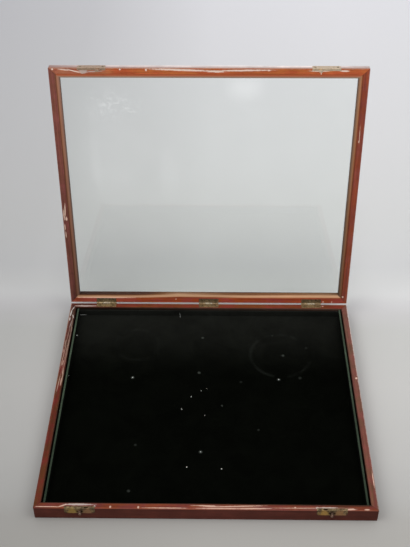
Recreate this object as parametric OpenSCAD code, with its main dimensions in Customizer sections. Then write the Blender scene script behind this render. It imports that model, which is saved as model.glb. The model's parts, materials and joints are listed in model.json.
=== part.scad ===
// Flat table-top display case: a shallow velvet-lined tray with a glazed lid that hinges
// at the back and stands open on the stops of its three hinges.
// +X is the case's right, +Y its back and +Z up. The origin is the middle of the underside.

/* [Case] */
// Width of the case, side to side
case_w = 450; // [400:1:500]
// Depth of the case, front to back
case_d = 400; // [340:1:440]
// Thickness of the tray walls, and width of the lid's joint face
wall_t = 9; // [8.5:0.5:12]
// Radius of the upright outer corners
corner_r = 1.2; // [0.5:0.1:2]
// Radius of the walls' long outer edges
edge_r = 0.5; // [0.3:0.1:1]

/* [Tray] */
// Height of the tray walls
tray_h = 21; // [19:0.5:30]
// Thickness of the bottom panel
panel_t = 5; // [4:0.5:6]
// Width of the rebate that the bottom panel sits in
panel_seat = 4; // [3:0.5:5]
// Gap between the bottom panel and the walls
panel_gap = 0.2; // [0.1:0.1:0.5]
// Thickness of the board under the velvet
board_t = 2.2; // [1.5:0.1:3]
// Thickness of the velvet on that board
velvet_t = 0.8; // [0.5:0.1:1.2]
// Gap between the velvet-covered board and the walls
board_gap = 0.3; // [0.1:0.1:0.6]
// Thickness of the lining strips
liner_t = 3; // [2.5:0.5:5]
// Shadow gap between a lining strip and its wall
liner_gap = 2; // [0.4:0.1:3]
// Depth of the lining strips' tops below the rim
liner_drop = 3; // [2:0.5:5]
// Radius of the velvet's turn over a strip's top
liner_r = 0.9; // [0.4:0.1:1.4]

/* [Lid] */
// Thickness of the lid frame
lid_t = 12; // [11:0.5:16]
// Radius of the lid's upper outer edges
lid_edge_r = 2; // [0.5:0.5:3]
// Width of the lip that carries the glass
lip_w = 5; // [4:0.5:8]
// Thickness of the lip that carries the glass
lip_t = 2.5; // [2:0.5:3.5]
// Thickness of the glass
glass_t = 2; // [1.5:0.5:3]
// Gap between the edge of the glass and the frame
glass_gap = 0.75; // [0.5:0.25:0.9]
// Width of the glazing beads
bead_w = 6; // [5:0.5:8]
// Depth of the glazing beads below the joint face
bead_drop = 1; // [0.5:0.5:3]
// Radius of the round on a bead's inner edge
bead_r = 1; // [0.5:0.5:2.5]
// Gap between the closed lid and the tray
joint_gap = 0.4; // [0.3:0.05:0.6]
// Angle between the tray and the opened lid
open_angle = 96.5; // [90:0.5:110]

/* [Hinges] */
// Distance between the case's side and the near end of an outer hinge
hinge_end = 42; // [20:1:90]
// Length of a hinge
hinge_len = 32; // [28:1:38]
// Length of the middle knuckle
knuckle_len = 11; // [8:1:13]
// Gap between two knuckles
knuckle_gap = 0.2; // [0.1:0.05:0.4]
// Width of a leaf on the joint face
leaf_w = 8; // [6:0.5:8]
// Thickness of a leaf
leaf_t = 1.2; // [1:0.1:1.5]
// Diameter of the barrel
barrel_d = 3.4; // [3:0.1:4.2]
// Distance of the hinge pins behind the back of the case
pin_back = 1.2; // [1:0.1:2.4]
// Diameter of a hinge pin
pin_d = 1.6; // [1.2:0.1:2]
// Running clearance round a pin, on the radius
pin_play = 0.05; // [0.02:0.01:0.09]
// Reach of the stop heels from the pin
heel_reach = 5.5; // [4.5:0.5:7]
// Gap that is left between the stop heels of the opened lid
stop_gap = 0.1; // [0.05:0.05:0.3]

/* [Catches] */
// Distance between the case's side and the near end of a catch
catch_end = 40.5; // [30:0.5:70]
// Length of a catch's plate
catch_len = 40; // [38:0.5:44]
// Height of the plate's front flange
catch_h = 10; // [9.8:0.1:12]
// Width of a plate's flange on the joint face
plate_top_w = 3.6; // [3.6:0.1:5]
// Radius of the corners of a plate's front flange
plate_r = 3; // [1:0.5:4]
// Thickness of the brass sheet
sheet_t = 1; // [0.8:0.1:1.2]
// Travel of a slide from its middle, each way
slide_travel = 2.5; // [1.5:0.1:2.8]
// Depth of the slide's middle below the rim
slide_depth = 5.9; // [5.7:0.1:6]
// Width of the slide's stem in its slot
stem_w = 2.8; // [2:0.1:3.2]
// Height of the slide's stem
stem_h = 3.4; // [2.5:0.1:3.6]
// Thickness of the slide's inner bar
bar_t = 1.4; // [1:0.1:1.6]
// Height of the slide's inner bar
bar_h = 6; // [5:0.1:6.2]
// Width of the thumb foot
foot_d = 4.6; // [3.5:0.1:6]
// Depth of the thumb foot's lower end below the rim
foot_drop = 12.4; // [11.8:0.1:16]
// Thickness of the thumb foot
foot_t = 1.9; // [1.5:0.1:2.5]
// Clearance round everything that slides or hooks
slide_gap = 0.3; // [0.2:0.05:0.4]

/* [Hook plates] */
// Length of a hook plate
hook_plate_len = 40; // [36:0.5:44]
// Height of the hook plate on the lid's front
hook_plate_h = 10; // [7:0.5:10]
// Distance of the hook from the middle of its catch
hook_x = 8.75; // [8.5:0.05:9]
// Width of the hook
hook_w = 4.5; // [4.3:0.1:5]
// Thickness of the hook
hook_t = 1.2; // [1:0.1:1.4]
// Height of the slide's nose that enters the hook
nose_h = 2.4; // [1.8:0.1:2.6]
// Height of the barb under the slide's nose
barb_h = 1.4; // [1:0.1:1.5]

/* [Fasteners] */
// Diameter of a screw's head
screw_head_d = 3.4; // [3:0.1:3.8]
// Diameter of a screw's shank
screw_d = 1.6; // [1.4:0.1:1.8]
// Length of a screw under its head's face
screw_len = 6; // [5:0.5:6.5]
// Distance of a screw from the end of its leaf or plate
screw_inset = 4.2; // [3:0.1:4.4]
// Width and depth of a screw's slot
screw_slot = 0.5; // [0.3:0.1:0.6]
// Diameter of the panel pins through the glazing beads
bead_pin_d = 0.9; // [0.7:0.1:1.1]
// Length of those pins
bead_pin_len = 10; // [9:0.5:12]
// Usual distance between two of those pins
bead_pin_pitch = 115; // [90:5:160]
// Clearance round everything that is dropped in and fixed
fit_gap = 0.05; // [0.03:0.01:0.1]

/* [Hidden] */
$fn = 64;

mahogany = [0.44, 0.24, 0.18];
bright_mahogany = [0.62, 0.30, 0.18];
worn_bead_wood = [0.66, 0.48, 0.36];
plain_panel_wood = [0.58, 0.45, 0.32];
board_grey = [0.45, 0.42, 0.38];
black_velvet = [0.04, 0.045, 0.04];
green_velvet = [0.22, 0.25, 0.20];
clear_glass = [0.78, 0.84, 0.84, 0.35];
dull_brass = [0.63, 0.52, 0.34];
screw_brass = [0.55, 0.45, 0.30];
pin_steel = [0.42, 0.40, 0.38];

SIDES = ["front", "right", "back", "left"];
overcut = 1;

floor_z = panel_t + board_t + velvet_t;
liner_top_z = tray_h - liner_drop;
joint_z = tray_h + joint_gap;
pin_z = tray_h + joint_gap / 2;
pin_y = case_d / 2 + pin_back;
inner_edge_r = edge_r / 2;
bead_h = lid_t - lip_t - glass_t - bead_drop;
half_open = open_angle / 2;
hinge_x = case_w / 2 - hinge_end - hinge_len / 2;
hinge_places = [-hinge_x, 0, hinge_x];
hinge_screw_x = hinge_len / 2 - screw_inset - screw_d / 2;
screw_head_h = (screw_head_d - screw_d) / 2;
catch_x = case_w / 2 - catch_end - catch_len / 2;
slot_r = 2 * slide_gap;
hook_left = hook_x - hook_w / 2;
hook_reach = slide_depth + nose_h / 2 + slide_gap + barb_h;
inner_y = sheet_t + slide_gap;
pocket_back = inner_y + max(bar_t, hook_t) + slide_gap;
pocket_depth = max(hook_reach, slide_depth + bar_h / 2) + slide_gap;
nose_tip = hook_left - slide_gap;
nose_len = slide_travel + slide_gap;
bar_left = -hook_left;
bar_right = nose_tip - nose_len;

// The sides are counted anticlockwise from the front, seen from above
function quarter_turns(side) = side == "front" ? 0 : side == "right" ? 1 : side == "back" ? 2 : 3;
function is_long(side) = side == "front" || side == "back";
function side_len(side) = is_long(side) ? case_w : case_d;
function side_off(side) = is_long(side) ? case_d / 2 : case_w / 2;

// What is cut from a square corner at the origin to round it
module corner_cut(r) {
    difference() {
        translate([-overcut, -overcut]) square(r + overcut);
        translate([r, r]) circle(r);
    }
}

// A rectangle about the origin with rounded corners
module rounded_slot(slot_w, slot_h, r) {
    difference() {
        square([slot_w, slot_h], center = true);
        for (x = [0, 1], y = [0, 1])
            mirror([x, 0]) mirror([0, y]) translate([-slot_w / 2, -slot_h / 2]) corner_cut(r);
    }
}

// A profile of the given width, run along one side and mitred at both ends.
// The profile's x runs from the outer face inwards and its y runs up.
module mitred_run(side, inset, width, round_r) {
    run_len = side_len(side) - 2 * inset;
    rotate(90 * quarter_turns(side)) translate([0, inset - side_off(side), 0]) intersection() {
        translate([-run_len / 2, 0, 0]) rotate([90, 0, 90]) linear_extrude(run_len) children();
        translate([0, 0, -overcut]) linear_extrude(tray_h + lid_t + 2 * overcut) difference() {
            polygon([[-run_len / 2, 0], [run_len / 2, 0],
                [run_len / 2 - width, width], [width - run_len / 2, width]]);
            if (round_r > 0) {
                translate([-run_len / 2, 0]) corner_cut(round_r);
                translate([run_len / 2, 0]) mirror([1, 0]) corner_cut(round_r);
            }
        }
    }
}

// Turns a lid piece, drawn closed, to where the opened lid stands on its stops
module opened() {
    translate([0, pin_y, pin_z]) rotate([-open_angle, 0, 0]) translate([0, -pin_y, -pin_z]) children();
}

// A countersunk wood screw, its face at the origin and its point down
module wood_screw(gap = 0) {
    shank_r = screw_d / 2 + gap;
    translate([0, 0, -screw_head_h]) cylinder(h = screw_head_h, r1 = shank_r, r2 = screw_head_d / 2 + gap);
    translate([0, 0, -screw_len]) cylinder(h = screw_len - screw_head_h, r = shank_r);
    translate([0, 0, -screw_len - screw_d]) cylinder(h = screw_d, r1 = shank_r / 4, r2 = shank_r);
}

module slotted_screw() {
    difference() {
        wood_screw();
        translate([-screw_head_d, -screw_slot / 2, -screw_slot])
            cube([2 * screw_head_d, screw_slot, 2 * screw_slot]);
    }
}

// The hole that a screw is driven into, open at the top
module screw_hole() {
    wood_screw(fit_gap);
    cylinder(h = overcut, r = screw_head_d / 2 + fit_gap);
}

module wall_profile() {
    difference() {
        square([wall_t, tray_h]);
        translate([wall_t - panel_seat, -overcut]) square([panel_seat + overcut, panel_t + overcut]);
        corner_cut(edge_r);
        translate([0, tray_h]) mirror([0, 1]) corner_cut(edge_r);
        translate([wall_t, tray_h]) rotate(180) corner_cut(inner_edge_r);
    }
}

module plain_wall(side) {
    mitred_run(side, 0, wall_t, corner_r) wall_profile();
}

// The places of the three hinges' screws on the joint face, measured from the pin
module at_hinge_screws() {
    for (end = [-1, 1])
        translate([end * hinge_screw_x, -pin_back - leaf_w / 2, -joint_gap / 2]) children();
}

// What is let into the wood for one hinge leaf and its barrel, from the pin's middle
module leaf_cut() {
    barrel_run(-hinge_len / 2 - fit_gap, hinge_len / 2 + fit_gap, barrel_d / 2 + slide_gap);
    translate([-hinge_len / 2 - fit_gap, -pin_back - leaf_w - fit_gap, -joint_gap / 2 - leaf_t])
        cube([hinge_len + 2 * fit_gap, leaf_w + pin_back, leaf_t + overcut]);
    at_hinge_screws() screw_hole();
}

// The bevelled block behind the barrel: two of them meet when the lid stands open
module heel_profile() {
    face = stop_gap / 2;
    front = slide_gap / 2 - pin_back;
    low = -heel_reach * sin(half_open) - face * cos(half_open);
    polygon([[front, -joint_gap / 2 - leaf_t], [0, -face / cos(half_open)],
        [heel_reach * cos(half_open) - face * sin(half_open), low], [front, low]]);
}

module barrel_run(from, to, r) {
    translate([from, 0, 0]) rotate([0, 90, 0]) cylinder(h = to - from, r = r);
}

// One hinge leaf under its pin: the tray's has the two end knuckles, the lid's the middle one
module hinge_leaf(end_knuckles) {
    half = hinge_len / 2;
    middle = knuckle_len / 2;
    barrel_r = barrel_d / 2;
    clear_r = barrel_r + slide_gap;
    difference() {
        union() {
            difference() {
                union() {
                    translate([-half, -pin_back - leaf_w, -joint_gap / 2 - leaf_t])
                        cube([hinge_len, leaf_w + pin_back, leaf_t]);
                    translate([-half, 0, 0]) rotate([90, 0, 90]) linear_extrude(hinge_len) heel_profile();
                }
                if (end_knuckles) {
                    barrel_run(-middle - knuckle_gap, middle + knuckle_gap, clear_r);
                } else {
                    barrel_run(-half - overcut, -middle, clear_r);
                    barrel_run(middle, half + overcut, clear_r);
                }
            }
            if (end_knuckles) {
                barrel_run(-half, -middle - knuckle_gap, barrel_r);
                barrel_run(middle + knuckle_gap, half, barrel_r);
            } else {
                barrel_run(-middle, middle, barrel_r);
            }
        }
        barrel_run(-half - overcut, half + overcut, end_knuckles ? pin_d / 2 : pin_d / 2 + pin_play);
        at_hinge_screws() screw_hole();
    }
}

module at_hinge(x) {
    translate([x, pin_y, pin_z]) children();
}

// The same place seen from the lid, which is drawn closed and then opened
module at_lid_hinge(x) {
    opened() at_hinge(x) mirror([0, 0, 1]) children();
}

// Each catch is drawn with +X towards the middle of the case, from the rim's front edge
module at_catch(side) {
    translate([side * catch_x, -case_d / 2, tray_h]) scale([-side, 1, 1]) children();
}

module at_hook(side) {
    opened() translate([0, 0, joint_gap]) at_catch(side) children();
}

// The places of a plate's two screws on its front flange
module at_plate_screws(plate_len, plate_h) {
    for (end = [-1, 1])
        translate([end * (plate_len / 2 - screw_inset), 0, -plate_h / 2]) rotate([90, 0, 0]) children();
}

// What is cut from the lower corners of a plate's front flange to round them
module plate_corner_cuts(plate_len, plate_h) {
    translate([0, sheet_t + overcut, 0]) rotate([90, 0, 0]) linear_extrude(sheet_t + 2 * overcut)
        for (end = [0, 1]) mirror([end, 0]) translate([-plate_len / 2, -plate_h]) corner_cut(plate_r);
}

// A plate of sheet folded over the rim's front edge, with its outer fold rounded
module folded_plate(plate_len, plate_h) {
    difference() {
        translate([-plate_len / 2, 0, 0]) rotate([90, 0, 90]) linear_extrude(plate_len) difference() {
            translate([0, -plate_h]) square([plate_top_w, plate_h]);
            translate([sheet_t, -plate_h - overcut]) square([plate_top_w, plate_h + overcut - sheet_t]);
            mirror([0, 1]) corner_cut(sheet_t / 2);
        }
        plate_corner_cuts(plate_len, plate_h);
    }
}

// The recess that such a plate and its screws lie in
module plate_cut(plate_len, plate_h) {
    cut_len = plate_len + 2 * fit_gap;
    cut_h = plate_h + fit_gap;
    difference() {
        translate([-cut_len / 2, -overcut, -cut_h]) cube([cut_len, sheet_t + overcut, cut_h + overcut]);
        plate_corner_cuts(cut_len, cut_h);
    }
    translate([-cut_len / 2, -overcut, -sheet_t])
        cube([cut_len, plate_top_w + fit_gap + overcut, sheet_t + overcut]);
    at_plate_screws(plate_len, plate_h) screw_hole();
}

module at_catch_screws() {
    at_plate_screws(catch_len, catch_h) children();
}

// What is cut from the front wall for one catch
module catch_cut() {
    pocket_left = bar_left - slide_travel - slide_gap;
    pocket_right = hook_left + hook_w + slide_gap;
    plate_cut(catch_len, catch_h);
    translate([pocket_left, 0, -pocket_depth])
        cube([pocket_right - pocket_left, pocket_back, pocket_depth]);
}

module catch_plate() {
    slot_w = stem_w + 2 * slide_travel + 2 * slide_gap;
    slot_h = stem_h + 2 * slide_gap;
    difference() {
        folded_plate(catch_len, catch_h);
        translate([0, sheet_t + overcut, -slide_depth]) rotate([90, 0, 0])
            linear_extrude(sheet_t + 2 * overcut) rounded_slot(slot_w, slot_h, slot_r);
        translate([hook_left - slide_gap, sheet_t, -sheet_t - overcut])
            cube([hook_w + 2 * slide_gap, hook_t + 2 * slide_gap, sheet_t + 2 * overcut]);
        at_catch_screws() screw_hole();
    }
}

// The thumb slide: an inner bar with a nose, a stem through the slot and a foot outside
module catch_slide() {
    lever_t = foot_t * 2 / 3;
    lever_y = -slide_gap - lever_t;
    foot_z = foot_d / 2 - foot_drop;
    translate([bar_left, inner_y, -slide_depth - bar_h / 2])
        cube([bar_right - bar_left, bar_t, bar_h]);
    translate([bar_right - overcut, inner_y, -slide_depth - nose_h / 2])
        cube([nose_tip - bar_right + overcut, bar_t, nose_h]);
    translate([-stem_w / 2, lever_y, -slide_depth - stem_h / 2])
        cube([stem_w, inner_y - lever_y + bar_t / 2, stem_h]);
    translate([-stem_w / 2, lever_y, foot_z])
        cube([stem_w, lever_t, -slide_depth - foot_z]);
    translate([0, lever_y + lever_t, foot_z]) rotate([90, 0, 0])
        cylinder(h = foot_t, r1 = foot_d / 2, r2 = foot_d / 2 * 0.8);
}

// The plate on the lid is drawn closed, from the lid's lower front edge
module at_hook_screws() {
    mirror([0, 0, 1]) at_plate_screws(hook_plate_len, hook_plate_h) children();
}

module hook_plate() {
    hook_h = joint_gap + hook_reach;
    notch_h = nose_h + 2 * slide_gap;
    notch_w = slide_travel + slide_gap;
    difference() {
        union() {
            mirror([0, 0, 1]) folded_plate(hook_plate_len, hook_plate_h);
            translate([hook_left, inner_y, -hook_h]) cube([hook_w, hook_t, hook_h + sheet_t / 2]);
        }
        translate([hook_left - overcut, inner_y - overcut, -joint_gap - slide_depth - notch_h / 2])
            cube([notch_w + overcut, hook_t + 2 * overcut, notch_h]);
        at_hook_screws() screw_hole();
    }
}

module lid_profile() {
    difference() {
        union() {
            translate([0, joint_z]) square([wall_t, lid_t]);
            translate([0, joint_z + lid_t - lip_t]) square([wall_t + lip_w, lip_t]);
        }
        translate([0, joint_z]) corner_cut(edge_r);
        translate([0, joint_z + lid_t]) mirror([0, 1]) corner_cut(lid_edge_r);
        translate([wall_t, joint_z]) mirror([1, 0]) corner_cut(inner_edge_r);
        translate([wall_t + lip_w, joint_z + lid_t]) rotate(180) corner_cut(edge_r);
    }
}

module plain_rail(side) {
    difference() {
        mitred_run(side, 0, wall_t + lip_w, corner_r) lid_profile();
        at_bead_pins(side) bead_pin(fit_gap);
    }
}

module bead_profile() {
    translate([0, joint_z + bead_drop]) difference() {
        square([bead_w, bead_h]);
        translate([bead_w, 0]) mirror([1, 0]) corner_cut(bead_r);
    }
}

module glazing_bead(side) {
    opened() difference() {
        mitred_run(side, wall_t, bead_w, 0) bead_profile();
        at_bead_pins(side) bead_pin(fit_gap);
    }
}

// The panel pins run from a bead's inner side into the frame behind it
module at_bead_pins(side) {
    count = round(side_len(side) / bead_pin_pitch) - 1;
    spacing = side_len(side) / (count + 1);
    pin_y = wall_t + bead_w - side_off(side);
    pin_z = joint_z + bead_drop + (bead_h + bead_r) / 2;
    for (i = [1 : count])
        rotate(90 * quarter_turns(side))
            translate([i * spacing - side_len(side) / 2, pin_y, pin_z]) children();
}

module bead_pin(gap = 0) {
    rotate([90, 0, 0]) translate([0, 0, -gap])
        cylinder(h = bead_pin_len + 2 * gap, r = bead_pin_d / 2 + gap);
}

module liner_profile() {
    difference() {
        translate([0, floor_z]) square([liner_t, liner_top_z - floor_z]);
        translate([0, liner_top_z]) mirror([0, 1]) corner_cut(liner_r);
        translate([liner_t, liner_top_z]) rotate(180) corner_cut(liner_r);
    }
}

// The side strips run the whole depth, and the front and back strips fit between them
module liner(side) {
    end_gap = is_long(side) ? wall_t + liner_gap + liner_t + fit_gap : wall_t + board_gap;
    run_len = side_len(side) - 2 * end_gap;
    outer_y = wall_t + liner_gap - side_off(side);
    color(green_velvet) rotate(90 * quarter_turns(side)) translate([-run_len / 2, outer_y, 0])
        rotate([90, 0, 90]) linear_extrude(run_len) liner_profile();
}

module centred_sheet(sheet_w, sheet_d, low, high) {
    translate([-sheet_w / 2, -sheet_d / 2, low]) cube([sheet_w, sheet_d, high - low]);
}

module front_wall() {
    color(mahogany) difference() {
        plain_wall("front");
        for (side = [-1, 1]) at_catch(side) catch_cut();
    }
}

module back_wall() {
    color(mahogany) difference() {
        plain_wall("back");
        for (x = hinge_places) at_hinge(x) leaf_cut();
    }
}

module left_wall() { color(mahogany) plain_wall("left"); }

module right_wall() { color(mahogany) plain_wall("right"); }

module bottom_panel() {
    inset = wall_t - panel_seat + panel_gap;
    color(plain_panel_wood) centred_sheet(case_w - 2 * inset, case_d - 2 * inset, 0, panel_t);
}

module floor_board() {
    inset = wall_t + board_gap;
    color(board_grey) centred_sheet(case_w - 2 * inset, case_d - 2 * inset, panel_t, panel_t + board_t);
}

module floor_velvet() {
    inset = wall_t + board_gap;
    color(black_velvet) centred_sheet(case_w - 2 * inset, case_d - 2 * inset, panel_t + board_t, floor_z);
}

module placed_catch_plate(side) { color(dull_brass) at_catch(side) catch_plate(); }

module placed_catch_slide(side) { color(dull_brass) at_catch(side) catch_slide(); }

module catch_screws() {
    color(screw_brass) for (side = [-1, 1]) at_catch(side) at_catch_screws() slotted_screw();
}

module base_leaf(x) { color(dull_brass) at_hinge(x) hinge_leaf(true); }

module hinge_pin(x) { color(screw_brass) at_hinge(x) barrel_run(-hinge_len / 2, hinge_len / 2, pin_d / 2); }

module base_leaf_screws() {
    color(screw_brass) for (x = hinge_places) at_hinge(x) at_hinge_screws() slotted_screw();
}

module lid_front_rail() {
    color(bright_mahogany) opened() difference() {
        plain_rail("front");
        for (side = [-1, 1]) translate([0, 0, joint_gap]) at_catch(side) mirror([0, 0, 1])
            plate_cut(hook_plate_len, hook_plate_h);
    }
}

module lid_back_rail() {
    color(bright_mahogany) opened() difference() {
        plain_rail("back");
        for (x = hinge_places) at_hinge(x) mirror([0, 0, 1]) leaf_cut();
    }
}

module lid_left_stile() { color(mahogany) opened() plain_rail("left"); }

module lid_right_stile() { color(mahogany) opened() plain_rail("right"); }

module glass_pane() {
    inset = wall_t + glass_gap;
    top = joint_z + lid_t - lip_t;
    color(clear_glass) opened() centred_sheet(case_w - 2 * inset, case_d - 2 * inset, top - glass_t, top);
}

module bead_pins() {
    color(pin_steel) opened() for (side = SIDES) at_bead_pins(side) bead_pin();
}

module lid_leaf(x) { color(dull_brass) at_lid_hinge(x) hinge_leaf(false); }

module lid_leaf_screws() {
    color(screw_brass) for (x = hinge_places) at_lid_hinge(x) at_hinge_screws() slotted_screw();
}

module placed_hook_plate(side) { color(dull_brass) at_hook(side) hook_plate(); }

module hook_plate_screws() {
    color(screw_brass) for (side = [-1, 1]) at_hook(side) at_hook_screws() slotted_screw();
}

front_wall();
back_wall();
left_wall();
right_wall();
bottom_panel();
floor_board();
floor_velvet();
liner("front");  // front_liner
liner("back");  // back_liner
liner("left");  // left_liner
liner("right");  // right_liner
placed_catch_plate(-1);  // left_catch_plate
placed_catch_plate(1);  // right_catch_plate
catch_screws();
placed_catch_slide(-1);  // left_catch_slide
placed_catch_slide(1);  // right_catch_slide
base_leaf(-hinge_x);  // left_base_leaf
base_leaf(0);  // middle_base_leaf
base_leaf(hinge_x);  // right_base_leaf
base_leaf_screws();
hinge_pin(-hinge_x);  // left_hinge_pin
hinge_pin(0);  // middle_hinge_pin
hinge_pin(hinge_x);  // right_hinge_pin
lid_front_rail();
lid_back_rail();
lid_left_stile();
lid_right_stile();
glass_pane();
glazing_bead("front");  // front_bead
glazing_bead("back");  // back_bead
glazing_bead("left");  // left_bead
glazing_bead("right");  // right_bead
bead_pins();
lid_leaf(-hinge_x);  // left_lid_leaf
lid_leaf(0);  // middle_lid_leaf
lid_leaf(hinge_x);  // right_lid_leaf
lid_leaf_screws();
placed_hook_plate(-1);  // left_hook_plate
placed_hook_plate(1);  // right_hook_plate
hook_plate_screws();
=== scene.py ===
"""Dresses the solid model of a flat table-top display case: old polished mahogany, rubbed
glazing beads, aged brass, clear glass and black velvet. Lengths are in metres, +X is the
case's right, +Y its hinged back and +Z up. The lid stands open, as the solid model has it.
Finishes are laid out in millimetres on the shut case, so that tray and lid share one map."""

import json
import math
from functools import partial, reduce

import bpy
from bpy.props import FloatProperty, FloatVectorProperty, PointerProperty
from mathutils import Matrix, Vector


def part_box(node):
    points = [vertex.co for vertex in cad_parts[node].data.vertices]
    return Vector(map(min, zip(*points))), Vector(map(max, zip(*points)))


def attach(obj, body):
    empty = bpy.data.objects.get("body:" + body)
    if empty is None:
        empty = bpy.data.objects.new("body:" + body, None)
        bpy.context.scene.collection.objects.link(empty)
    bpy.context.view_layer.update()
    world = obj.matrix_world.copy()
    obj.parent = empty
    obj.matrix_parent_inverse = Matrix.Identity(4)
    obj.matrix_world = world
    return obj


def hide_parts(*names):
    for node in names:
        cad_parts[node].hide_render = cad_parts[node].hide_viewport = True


bl_info = {
    "name": "Table-top display case",
    "version": (1, 0, 0),
    "blender": (4, 5, 0),
    "location": "3D View > Sidebar > Display case",
    "description": "Dresses a glazed and velvet-lined display case",
    "category": "Object",
}

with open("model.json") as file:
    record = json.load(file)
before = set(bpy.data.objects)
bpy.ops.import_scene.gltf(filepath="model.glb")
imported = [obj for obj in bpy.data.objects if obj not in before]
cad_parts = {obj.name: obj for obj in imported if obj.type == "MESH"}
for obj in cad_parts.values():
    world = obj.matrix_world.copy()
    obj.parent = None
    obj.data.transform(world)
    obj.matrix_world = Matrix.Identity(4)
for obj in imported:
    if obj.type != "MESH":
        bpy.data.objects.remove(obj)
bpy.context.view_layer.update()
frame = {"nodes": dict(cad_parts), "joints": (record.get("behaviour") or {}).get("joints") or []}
MM = 1000.0
HINGE = next(joint for joint in frame["joints"] if joint["name"] == "lid_hinge")
PIN = Vector(HINGE["pos_m"])
OPEN_ANGLE = math.radians(HINGE["range_deg"][1])

# Places in millimetres: the tray's top, its half width and depth, and the shut lid's joint face
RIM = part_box("left_wall")[1].z * MM
HALF_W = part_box("front_wall")[1].x * MM
HALF_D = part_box("left_wall")[1].y * MM
JOINT = 2 * PIN.z * MM - RIM

FLANKS = ("left", "right")  # sides that run from front to back

# Where finishes start and end, in millimetres
PROFILE_END = 225  # of profiles, from a piece's middle
JOINT_EDGE = (0.8, 0.15)  # off the joint face: where its own stain ends and is full
BLOOM_AND_SHEEN_END = 12  # off the joint face: of the outer faces' whitish blooming and painted sheen
ARRIS_DIRT_AND_SHADE = 8.5  # depth of the inner arris, where its soiling and painted shade are thickest
INNER_FACE = (5, 7)  # depths between the outer face's polish and the inner face's
BEAD_SPAN = (7, 17)  # depths that the beads lie between
MARK_HEIGHT = 1.8  # of a mark, to both sides of the joint
SMEAR_LEVEL, SMEAR_HEIGHT = 10, 20  # off the joint face: a smear spans the whole pane
KNUCKLE_GLINT = (2.6, 1.6)  # off the pin's axis: where a knuckle's painted glint starts, and where it is full
VELVET_LEVEL = 8  # of the floor's velvet
PILE_SPAN = (-190, 60)  # where the pile's brightness changes, front to back
SHADE_HALF = (195, 300)  # of the lid's shade on the floor, to both sides
SHADE_NEAR, SHADE_FAR = (190, 230), (250, 520)  # its start and its end

SEED_STEPS = (7.3, 3.1, 5.7)  # what one seed moves a grain by
SOFT = {"interpolation_type": "SMOOTHSTEP"}
SMOOTH = math.radians(50)  # edges that turn less than this look round
TOUCH = 1e-6  # points this near to each other are level
CELLS_X, CELLS_Y, STRIP_CUTS = 120, 106, 95  # of the floor's velvet, and along a strip's
FLOOR_LUMPS, STRIP_LUMPS = 0.03, 0.02  # sizes of the lumps in the velvet
TURN_GAP = 0.0003  # the floor velvet's edge ends this far above its underside
GROUND_GAP, FLOOR_WIDTH = 0.0004, 14  # the floor lies just under the case
LAMP_WIDTH, LAMP_AIM = 1.6, Vector((0, 0, 0.1))
FILM_WIDTH = 36  # of the camera, in millimetres


def linear(code):
    """The linear colour of an sRGB hex code."""
    parts = [int(code[i : i + 2], 16) / 255 for i in (1, 3, 5)]
    return [p / 12.92 if p <= 0.04045 else ((p + 0.055) / 1.055) ** 2.4 for p in parts] + [1.0]


def colour_setting(name, description, code):
    return FloatVectorProperty(
        name=name, description=description, subtype="COLOR", size=4, min=0, max=1,
        default=linear(code),
    )


def length_setting(name, description, default):
    return FloatProperty(
        name=name, description=description, default=default, min=0, unit="LENGTH", precision=5
    )


def angle_setting(name, description, degrees):
    return FloatProperty(
        name=name, description=description, subtype="ANGLE", default=math.radians(degrees)
    )


def number_setting(name, description, default, unit="NONE"):
    return FloatProperty(name=name, description=description, default=default, unit=unit)


class CaseSizes(bpy.types.PropertyGroup):
    """Sizes of what is fitted over the solid model."""

    velvet_t: length_setting("Velvet", "Thickness of the velvet with its pile", 0.0006)
    velvet_wave: length_setting("Velvet wave", "Unevenness of the velvet on its board", 0.0002)
    strip_edge: length_setting("Strip edge", "Radius of the velvet's turn over a strip", 0.0009)
    strip_wave: length_setting("Strip wave", "Unevenness of the velvet round a strip", 0.0002)
    card_edge: length_setting("Card edge", "Radius of the edges of a strip's card", 0.0002)
    thread_d: length_setting("Thread", "Thickness of a stray thread", 0.00028)


class CaseColours(bpy.types.PropertyGroup):
    """Colours of the case's finishes."""

    white_ground: colour_setting("Grain filler", "Whitish filler that old polish hid", "#cdc5bc")
    # Also painted shade: this dark colour darkens the inner arrises of walls and rails
    grime_and_shade: colour_setting("Grime", "Dark wax and dirt in corners and hollows", "#33241a")
    black_velvet: colour_setting("Black velvet", "Pile of the floor's velvet", "#050604")
    # Dust and painted sheen: the pile greyer towards the back, where it is seen more along its
    # side
    dust_and_sheen_velvet: colour_setting("Velvet with dust and sheen", "The same, greyer towards the back", "#1a1b18")
    # Painted sheen: the lighter green that the pile shows on the side strips' tops
    green_velvet: colour_setting("Green sheen on velvet", "Pile on the side strips' tops", "#455142")


class CaseStage(bpy.types.PropertyGroup):
    """The camera and the lights."""

    eye: FloatVectorProperty(
        name="Camera", description="Place of the camera", subtype="XYZ", unit="LENGTH",
        default=(0.0120, -0.9114, 1.0153),
    )
    pitch: angle_setting("Pitch", "Angle that the camera looks down", 39.897)
    yaw: angle_setting("Yaw", "Turn of the camera to its right", -0.918)
    roll: angle_setting("Roll", "Lean of the camera", 0.261)
    lens: number_setting("Lens", "Focal length", 60.01, "CAMERA")
    left_lamp: number_setting("Left lamp", "Power of the left soft box", 19, "POWER")
    right_lamp: number_setting("Right lamp", "Power of the right soft box", 17, "POWER")
    sky: number_setting("Room light", "Strength of the light from all round", 0.72)
    lid_shade: number_setting("Lid's shade", "Shade of the lid on the floor behind it", 0.16)


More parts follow.
